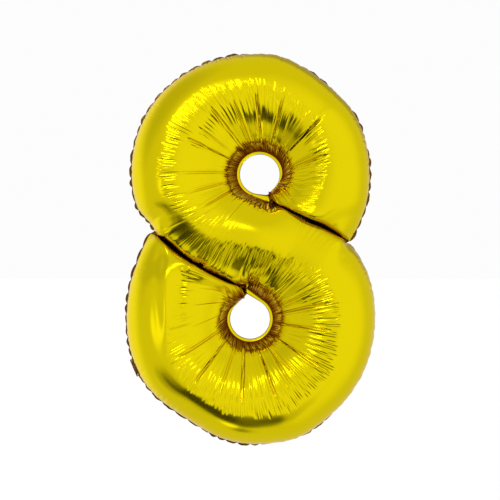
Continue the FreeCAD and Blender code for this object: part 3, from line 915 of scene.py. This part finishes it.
def inflated_film(shape, rng):
    """Film pressed out from the flat cut: coarse grid first, then twice finer."""
    film = Film(84, 18, *figure_outlines(shape))
    film.press_creases(CREASES, 0.010)
    plan = ((1200, 2e-5, 0.1), (600, 1e-5, 0.2), (600, 5e-6, 0.3))
    for level, (steps, pressure, rim) in enumerate(plan):
        film = film.finer() if level else film
        film.points[1, 1:-1, 1:-1] -= (rng.rand(*film.points[1, 1:-1, 1:-1].shape) * 0.0003).astype(F32)
        film.stiffness(0.5, 0.05, rim)
        film.inflate(steps, pressure)
    return film


def wrinkled_skin(film, rng):
    """Fine surface of the front panel and its share of painted shade where the film gathers."""
    skin = Surface(film, rng)
    skin.calm_waist()
    skin.lean_waist(0.012)
    skin.calm_corners()
    skin.calm_upper_seam()
    skin.tent_arm_end()
    skin.settle_outline()
    skin.pinch_rim()
    skin.knee(0.006, (0.004, 0.009))
    skin.close_valleys(0.975, 0.045)
    skin.sharpen_creases(1.0, 0.5)
    skin.petals(FACETS, 0.0014, 0.007)
    skin.ring_of_wrinkles()
    skin.collar_wrinkles()
    skin.rim_wrinkles()
    # Share of painted shade where the film gathers, stored on the panels for their colour
    gather_shade = skin.gather_shade()
    skin.settle()
    skin.overhang(0, (-80, -8), 0.0075)
    skin.overhang(1, (102, 150), 0.005)
    skin.raise_notch(0.026)
    return skin, gather_shade


def figure_skin():
    """Surface made by the film operator, which the weld bands follow."""
    if "skin" not in made:
        raise RuntimeError("The film panels come first")
    return made["skin"]


def weld_piece(band, *nodes):
    """Put a weld band on the balloon body, in place of its CAD nodes."""
    if nodes:
        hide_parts(*nodes)
    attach(band, "balloon")


# ------------------------------------------------------------------ operators


class FIGURE_OT_panels(bpy.types.Operator):
    """Inflate the front panel and mirror it for the rear one"""

    bl_idname = "figure.panels"
    bl_label = "Film panels"

    def execute(self, context):
        shape = context.scene.figure_shape
        rng = np.random.RandomState(shape.seed)
        skin, gather_shade = wrinkled_skin(inflated_film(shape, rng), rng)
        made["skin"] = skin
        foil = lemon_foil(context.scene.figure_look)
        mirrored = skin.points * np.array([1, -1, 1])[:, None, None]
        front = film_object("front_foil_panel", skin.points, gather_shade, foil, True)
        rear = film_object("rear_foil_panel", mirrored, gather_shade, foil, False)
        for panel, node in ((front, "front_film"), (rear, "rear_film")):
            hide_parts(node)
            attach(panel, "balloon")
        return {"FINISHED"}


FLANGE_SEEN = (((-45, 12), (20, 34), (48, 62), (92, 250)), ((-64, -52), (-112, -84), (128, 245)))
FLANGE_LEAN = (8, 70)
FLANGE_WIDTH = (0.0005, 0.0048)
TAIL_BEARING = 203


def flange_lines(skin, arm):
    """Rows of points of one outline flange: it widens between pinches and leans back where it is hidden."""
    rim, centre = skin.rim(arm), skin.outline.lobes[arm]
    x, z = rim[0] - centre[0], rim[2] - centre[1]
    r, turn = np.hypot(x, z), np.degrees(np.arctan2(z, x))
    seen = np.zeros_like(r)
    for low, high in FLANGE_SEEN[arm]:
        seen = np.maximum(seen, ((turn - low) % 360 < high - low) * 1.0)
    seen = blur(seen, 8)
    share, puff, size = skin.puff[arm]
    width = FLANGE_WIDTH[0] + FLANGE_WIDTH[1] * puff * size * (0.25 + 0.75 * seen)
    if arm == 1:
        width *= ease((np.abs((turn - TAIL_BEARING + 180) % 360 - 180) - 2.6) / 1.2)
    lean = np.radians(FLANGE_LEAN[0] + (FLANGE_LEAN[1] - FLANGE_LEAN[0]) * (1 - seen))
    rows = []
    for part in np.linspace(0, 1, 5):
        out = 1 + width * np.cos(lean) * part / r
        back = width * np.sin(lean) * part + 0.0004 * np.sin(2 * np.pi * share) * part
        rows.append(np.stack([centre[0] + x * out, back, centre[1] + z * out]))
    return rows


class FIGURE_OT_outline_weld(bpy.types.Operator):
    """Puckered weld flange round both lobes"""

    bl_idname = "figure.outline_weld"
    bl_label = "Outline weld"

    def execute(self, context):
        skin, crimped_shaded = figure_skin(), crimped_shaded_foil(context.scene.figure_look)
        for arm, name, nodes in ((0, "upper_outline_weld", ("perimeter_weld",)), (1, "lower_outline_weld", ())):
            # The flange bands take the dark weld colour: painted shade between the puckers
            weld_piece(band_object(name, flange_lines(skin, arm), 0.0003, crimped_shaded), *nodes)
        return {"FINISHED"}


EYE_HOLE_ROOM = 0.0065
EYE_REACH = (0.0455, 0.052)
EYE_TIP_RADIUS = 0.0025


def eye_ring_lines(skin, arm, eye_radius):
    """Rows of points from an eye's drop-shaped hole out to the film's edge, closed round the eye."""
    edge = skin.points[:, :skin.middle + 1, 0] if arm == 0 else skin.points[:, skin.middle:, -1][:, ::-1]
    eye, tip = skin.outline.eyes[arm], skin.outline.cross[arm][0]
    x, z = edge[0] - eye[0], edge[2] - eye[1]
    r, turn = np.hypot(x, z), np.arctan2(z, x)
    hole, reach = eye_radius - EYE_HOLE_ROOM, EYE_REACH[arm]
    spread = math.acos((hole - EYE_TIP_RADIUS) / reach)
    off = np.abs((turn - bearing(eye, tip) + math.pi) % (2 * math.pi) - math.pi)
    inner = np.minimum(hole / np.cos(np.clip(spread - off, 0, None)), reach + EYE_TIP_RADIUS)
    inner = np.minimum(inner, r - 0.002)
    rows = []
    for part in np.linspace(0, 1, 4):
        out = inner + (r - inner) * part
        row = np.stack([eye[0] + np.cos(turn) * out, 0 * out, eye[1] + np.sin(turn) * out])
        rows.append(np.concatenate([row, row[:, :1]], 1))
    return rows


class FIGURE_OT_eye_rings(bpy.types.Operator):
    """Flat weld round each eye, with its drop-shaped hole"""

    bl_idname = "figure.eye_rings"
    bl_label = "Eye rings"

    def execute(self, context):
        skin, foil = figure_skin(), lemon_foil(context.scene.figure_look)
        radius = context.scene.figure_shape.eye_radius
        for arm, place in enumerate(("upper", "lower")):
            ring = band_object(place + "_eye_ring", eye_ring_lines(skin, arm, radius), 0.0006, foil)
            weld_piece(ring, place + "_eye_weld")
        return {"FINISHED"}


class FIGURE_OT_arm_seams(bpy.types.Operator):
    """Weld between each arm's closed end and the waist"""

    bl_idname = "figure.arm_seams"
    bl_label = "Arm seams"

    def execute(self, context):
        skin, crimped_shaded = figure_skin(), crimped_shaded_foil(context.scene.figure_look)
        p, middle, reach = skin.points, skin.middle, 2 * skin.columns
        sides = ((p[:, 0, :], p[:, middle:middle + reach + 1:2, 0]),
                 (p[:, -1, ::-1], p[:, middle - reach:middle + 1:2, -1][:, ::-1]))
        for place, (end, waist) in zip(("upper", "lower"), sides):
            lines = [end + (waist - end) * part for part in np.linspace(0, 1, 4)]
            # The seam band takes the dark weld colour: painted shade in the valley over the cross weld
            weld_piece(band_object(place + "_arm_seam", lines, 0.0004, crimped_shaded), place + "_cross_weld")
        return {"FINISHED"}


TAIL_JOINT = frame["record"]["behaviour"]["joints"][0]
TAIL_START = 0.0012
TAIL_LENGTH = 0.048
TAIL_HALF = 0.020
TAIL_CHANNEL = 0.015
TAIL_FOLD = math.radians(98)
RIBBON_HOLE = 0.0036
NECK_START = 0.258
NECK_HALF = 0.0145


def tail_place(skin):
    """Hinge point, hinge line and outward direction of the fill tail."""
    hinge, line = np.array(TAIL_JOINT["pos_m"]), np.array(TAIL_JOINT["axis"])
    centre = skin.outline.lobes[1]
    out = hinge - np.array([centre[0], 0, centre[1]])
    return hinge, line, out / np.linalg.norm(out), np.linalg.norm(out)


BEAD_RADIUS = 0.0011
BEAD_HALF = 0.0155
BEAD_SIDES = 20


def fold_bead(hinge, line, out):
    """Vertices and faces of the gathered bead of foil round the fold: the tail turns about its middle line."""
    run = np.linspace(-BEAD_HALF, BEAD_HALF, 121)
    radius = BEAD_RADIUS * ease((BEAD_HALF - np.abs(run)) / 0.002 + 0.15)
    turn = np.linspace(0, 2 * math.pi, BEAD_SIDES, endpoint=False)
    crinkle = 1 - 0.06 * (1 + np.sin(run[:, None] / 0.00045 + 1.7 * np.sin(3 * turn)))
    size = radius[:, None] * crinkle
    back = np.array([0.0, 1.0, 0.0])
    points = hinge + line * run[:, None, None] + (out * np.cos(turn)[:, None] + back * np.sin(turn)[:, None]) \
        * size[:, :, None]
    faces = [[i * BEAD_SIDES + j, i * BEAD_SIDES + (j + 1) % BEAD_SIDES,
              (i + 1) * BEAD_SIDES + (j + 1) % BEAD_SIDES, (i + 1) * BEAD_SIDES + j]
             for i in range(len(run) - 1) for j in range(BEAD_SIDES)]
    caps = [list(range(BEAD_SIDES))[::-1], [(len(run) - 1) * BEAD_SIDES + j for j in range(BEAD_SIDES)]]
    return points.reshape(-1, 3).tolist(), faces + caps


class FIGURE_OT_tail_neck(bpy.types.Operator):
    """Short foil neck that covers the valve between the outline and the tail's fold, and the fold's bead"""

    bl_idname = "figure.tail_neck"
    bl_label = "Tail neck"

    def execute(self, context):
        skin, crimped_shaded = figure_skin(), crimped_shaded_foil(context.scene.figure_look)
        hinge, line, out, reach = tail_place(skin)
        across = np.linspace(-NECK_HALF, NECK_HALF, 25)
        crown = 0.0022 * np.sqrt(np.clip(1 - (across / NECK_HALF) ** 2, 0, 1)) + 0.0004
        for name, face in (("tail_neck_front", -1), ("tail_neck_rear", 1)):
            lines = []
            for part in np.linspace(0, 1, 8):
                back = (NECK_START - reach) + (reach - NECK_START - 0.00105) * part
                row = (hinge + out * back)[:, None] + line[:, None] * across
                row[1] += face * crown * (1.6 - 1.3 * part)
                lines.append(row)
            weld_piece(band_object(name, lines, 0.0002, crimped_shaded))
        weld_piece(mesh_object("tail_fold_bead", *fold_bead(hinge, line, out), crimped_shaded))
        return {"FINISHED"}


class FIGURE_OT_tail(bpy.types.Operator):
    """Two crinkled foil layers of the fill tail, cut out round the ribbon hole"""

    bl_idname = "figure.tail"
    bl_label = "Fill tail"

    def execute(self, context):
        scene = context.scene
        hinge, line, out, reach = tail_place(figure_skin())
        back = np.array([0.0, 1.0, 0.0])
        along = out * math.cos(TAIL_FOLD) + back * math.sin(TAIL_FOLD)
        normal = back * math.cos(TAIL_FOLD) - out * math.sin(TAIL_FOLD)
        u, v = np.meshgrid(np.linspace(0.0, 1.0, 97), np.linspace(-TAIL_HALF, TAIL_HALF, 81), indexing="ij")
        u = TAIL_START + u * (TAIL_LENGTH - TAIL_START - np.sqrt(np.clip(RIBBON_HOLE ** 2 - v ** 2, 0, None)))
        rng = np.random.RandomState(scene.figure_shape.seed + 9)
        full = np.sqrt(np.clip(1 - (v / TAIL_CHANNEL) ** 2, 0, 1)) * ease(u / 0.010) * ease((TAIL_LENGTH - u) / 0.012)
        side = np.exp(-((np.abs(v) - TAIL_CHANNEL - 0.0025) / 0.0022) ** 2)
        for place, face in (("front", -1), ("rear", 1)):
            height = 0.0012 + 0.0024 * full + 0.00012 * side * np.sin(u / 0.0009)
            for _ in range(14):
                turn, at = rng.uniform(-0.7, 0.7), rng.uniform(-0.02, 0.05)
                across_fold = (u * math.cos(turn) + v * math.sin(turn) - at) / rng.uniform(0.0012, 0.0035)
                height -= rng.uniform(0.2, 0.9) * 0.0010 * np.exp(-across_fold ** 2) * (0.2 + full)
            height = np.maximum(height, 0.0009)
            points = hinge[:, None, None] + sum(
                way[:, None, None] * step for way, step in ((along, u), (line, v), (normal, face * height)))
            lines = list(np.moveaxis(points, 2, 0))
            layer = band_object("tail_" + place + "_foil", lines, 0.0002, lemon_foil(scene.figure_look), normal)
            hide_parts("tail_" + place + "_layer")
            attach(layer, "tail")
        return {"FINISHED"}


class FIGURE_OT_finishes(bpy.types.Operator):
    """Finishes of the valve and of the tail's welds"""

    bl_idname = "figure.finishes"
    bl_label = "Valve and tail weld finishes"

    def execute(self, context):
        crimped_shaded = crimped_shaded_foil(context.scene.figure_look)
        film = valve_finish("valve_film", (0.86, 0.87, 0.84))
        ink = valve_finish("release_print", (0.42, 0.55, 0.62))
        # The tail's welds and the valve sleeve take the dark weld colour: painted shade
        finishes = {"tail_upper_side_weld": crimped_shaded, "tail_lower_side_weld": crimped_shaded, "tail_ear_weld": crimped_shaded,
                    "tail_valve_sleeve": crimped_shaded, "valve_front_film": film, "valve_rear_film": film,
                    "valve_release_print": ink}
        for name, finish in finishes.items():
            for slot in frame["nodes"][name].material_slots:
                slot.material = finish
        return {"FINISHED"}


STUDIO_LEVEL = 0.79
BACKDROP_LEVEL = 0.98
STUDIO_PANELS = (
    (38, -10, 20, 62, 0.22),
    (125, 180, 15, 50, 0.30),
    (88, 140, 12, 42, -0.18),
    (46, 258, 14, 24, -0.66),
    (64, 226, 6, 17, -0.30),
    (50, 235, 8, 19, -0.42),
    (44, 292, 5, 15, -0.30),
    (34, 186, 4, 10, 0.55),
    (140, 60, 15, 35, -0.35),
    (35, 120, 8, 16, 0.45),
    (67, 254, 3, 8, 0.9),
    (76, 262, 4, 9, -0.5),
)
FRAME_WIDTH = 0.860 * 500 / 392


def toward(tilt, turn):
    """Direction tilted away from the viewer by tilt degrees, towards turn degrees round the view."""
    a, b = math.radians(tilt), math.radians(turn)
    return Vector((math.sin(a) * math.cos(b), -math.cos(a), math.sin(a) * math.sin(b)))


def studio_panel(nodes, links, level, tilt, turn, near, far, amount):
    """Add a soft round patch of light, or of dark where the amount is negative, to the studio's level."""
    place = nodes.new("ShaderNodeTexCoord")
    dot = nodes.new("ShaderNodeVectorMath")
    dot.operation = "DOT_PRODUCT"
    dot.inputs[1].default_value = toward(tilt, turn)
    links.new(place.outputs["Generated"], dot.inputs[0])
    soft = nodes.new("ShaderNodeMapRange")
    soft.interpolation_type = "SMOOTHSTEP"
    soft.inputs["From Min"].default_value = math.cos(math.radians(far))
    soft.inputs["From Max"].default_value = math.cos(math.radians(near))
    links.new(dot.outputs["Value"], soft.inputs["Value"])
    add = nodes.new("ShaderNodeMath")
    add.operation = "MULTIPLY_ADD"
    add.inputs[1].default_value = amount
    links.new(soft.outputs["Result"], add.inputs[0])
    links.new(level, add.inputs[2])
    return add.outputs[0]


def white_studio():
    """World with soft light and dark panels; straight behind the balloon it is plain white."""
    world = bpy.data.worlds.new("white_studio")
    world.use_nodes = True
    nodes, links = world.node_tree.nodes, world.node_tree.links
    nodes.clear()
    base = nodes.new("ShaderNodeValue")
    base.outputs[0].default_value = STUDIO_LEVEL
    level = base.outputs[0]
    for panel in STUDIO_PANELS:
        level = studio_panel(nodes, links, level, *panel)
    least = nodes.new("ShaderNodeMath")
    least.operation = "MAXIMUM"
    least.inputs[1].default_value = 0.05
    links.new(level, least.inputs[0])
    lit, plain = nodes.new("ShaderNodeBackground"), nodes.new("ShaderNodeBackground")
    for background in (lit, plain):
        background.inputs["Color"].default_value = (1, 1, 1, 1)
    links.new(least.outputs[0], lit.inputs["Strength"])
    plain.inputs["Strength"].default_value = BACKDROP_LEVEL
    path = nodes.new("ShaderNodeLightPath")
    choose = nodes.new("ShaderNodeMixShader")
    out = nodes.new("ShaderNodeOutputWorld")
    links.new(path.outputs["Is Camera Ray"], choose.inputs[0])
    links.new(lit.outputs[0], choose.inputs[1])
    links.new(plain.outputs[0], choose.inputs[2])
    links.new(choose.outputs[0], out.inputs["Surface"])
    return world


def white_floor():
    """Plain white floor well below the balloon."""
    bpy.ops.mesh.primitive_plane_add(size=80, location=(0, 0, CAD_BOX[0][2] - 0.35))
    floor = bpy.context.object
    floor.name = "floor"
    paper = bpy.data.materials.new("white_paper")
    paper.use_nodes = True
    shader = paper.node_tree.nodes["Principled BSDF"]
    shader.inputs["Base Color"].default_value = (0.25, 0.25, 0.25, 1)
    shader.inputs["Emission Color"].default_value = (1, 1, 1, 1)
    shader.inputs["Emission Strength"].default_value = 0.76
    floor.data.materials.append(paper)
    floor.visible_glossy = False


def soft_box():
    """Long soft box above and to the left of the camera."""
    light = bpy.data.lights.new("soft_box", "AREA")
    light.shape, light.size, light.size_y, light.energy = "RECTANGLE", 1.0, 0.24, 4.0
    lamp = bpy.data.objects.new("soft_box", light)
    aim = toward(35, 120)
    lamp.location = aim * 2.2
    lamp.rotation_euler = aim.to_track_quat("Z", "Y").to_euler()
    bpy.context.collection.objects.link(lamp)


def front_camera():
    """Long lens, level and straight in front."""
    data = bpy.data.cameras.new("camera")
    data.lens, data.sensor_width, data.clip_end = 120.0, 36.0, 100
    camera = bpy.data.objects.new("camera", data)
    camera.location = (0, -FRAME_WIDTH * data.lens / data.sensor_width, 0)
    camera.rotation_euler = (math.pi / 2, 0, 0)
    bpy.context.collection.objects.link(camera)
    bpy.context.scene.camera = camera


class FIGURE_OT_studio(bpy.types.Operator):
    """White studio, floor, soft box and camera"""

    bl_idname = "figure.studio"
    bl_label = "Studio and camera"

    def execute(self, context):
        context.scene.view_settings.view_transform = "Standard"
        context.scene.world = white_studio()
        white_floor()
        soft_box()
        front_camera()
        return {"FINISHED"}


class FIGURE_PT_sidebar(bpy.types.Panel):
    """Lists the balloon's pieces in the sidebar"""

    bl_label = "Foil balloon"
    bl_idname = "FIGURE_PT_sidebar"
    bl_space_type = "VIEW_3D"
    bl_region_type = "UI"
    bl_category = "Balloon"

    def draw(self, context):
        for operator in OPERATORS:
            self.layout.operator(operator.bl_idname)


OPERATORS = (FIGURE_OT_panels, FIGURE_OT_outline_weld, FIGURE_OT_eye_rings, FIGURE_OT_arm_seams,
             FIGURE_OT_tail_neck, FIGURE_OT_tail, FIGURE_OT_finishes, FIGURE_OT_studio)
CLASSES = (FIGURE_PG_shape, FIGURE_PG_look) + OPERATORS + (FIGURE_PT_sidebar,)


def register():
    for cls in CLASSES:
        bpy.utils.register_class(cls)
    bpy.types.Scene.figure_shape = bpy.props.PointerProperty(type=FIGURE_PG_shape)
    bpy.types.Scene.figure_look = bpy.props.PointerProperty(type=FIGURE_PG_look)


def unregister():
    del bpy.types.Scene.figure_shape
    del bpy.types.Scene.figure_look
    for cls in reversed(CLASSES):
        bpy.utils.unregister_class(cls)


def main():
    register()
    bpy.ops.figure.panels()
    bpy.ops.figure.outline_weld()
    bpy.ops.figure.eye_rings()
    bpy.ops.figure.arm_seams()
    bpy.ops.figure.tail_neck()
    bpy.ops.figure.tail()
    bpy.ops.figure.finishes()
    bpy.ops.figure.studio()


if __name__ == "__main__":
    main()
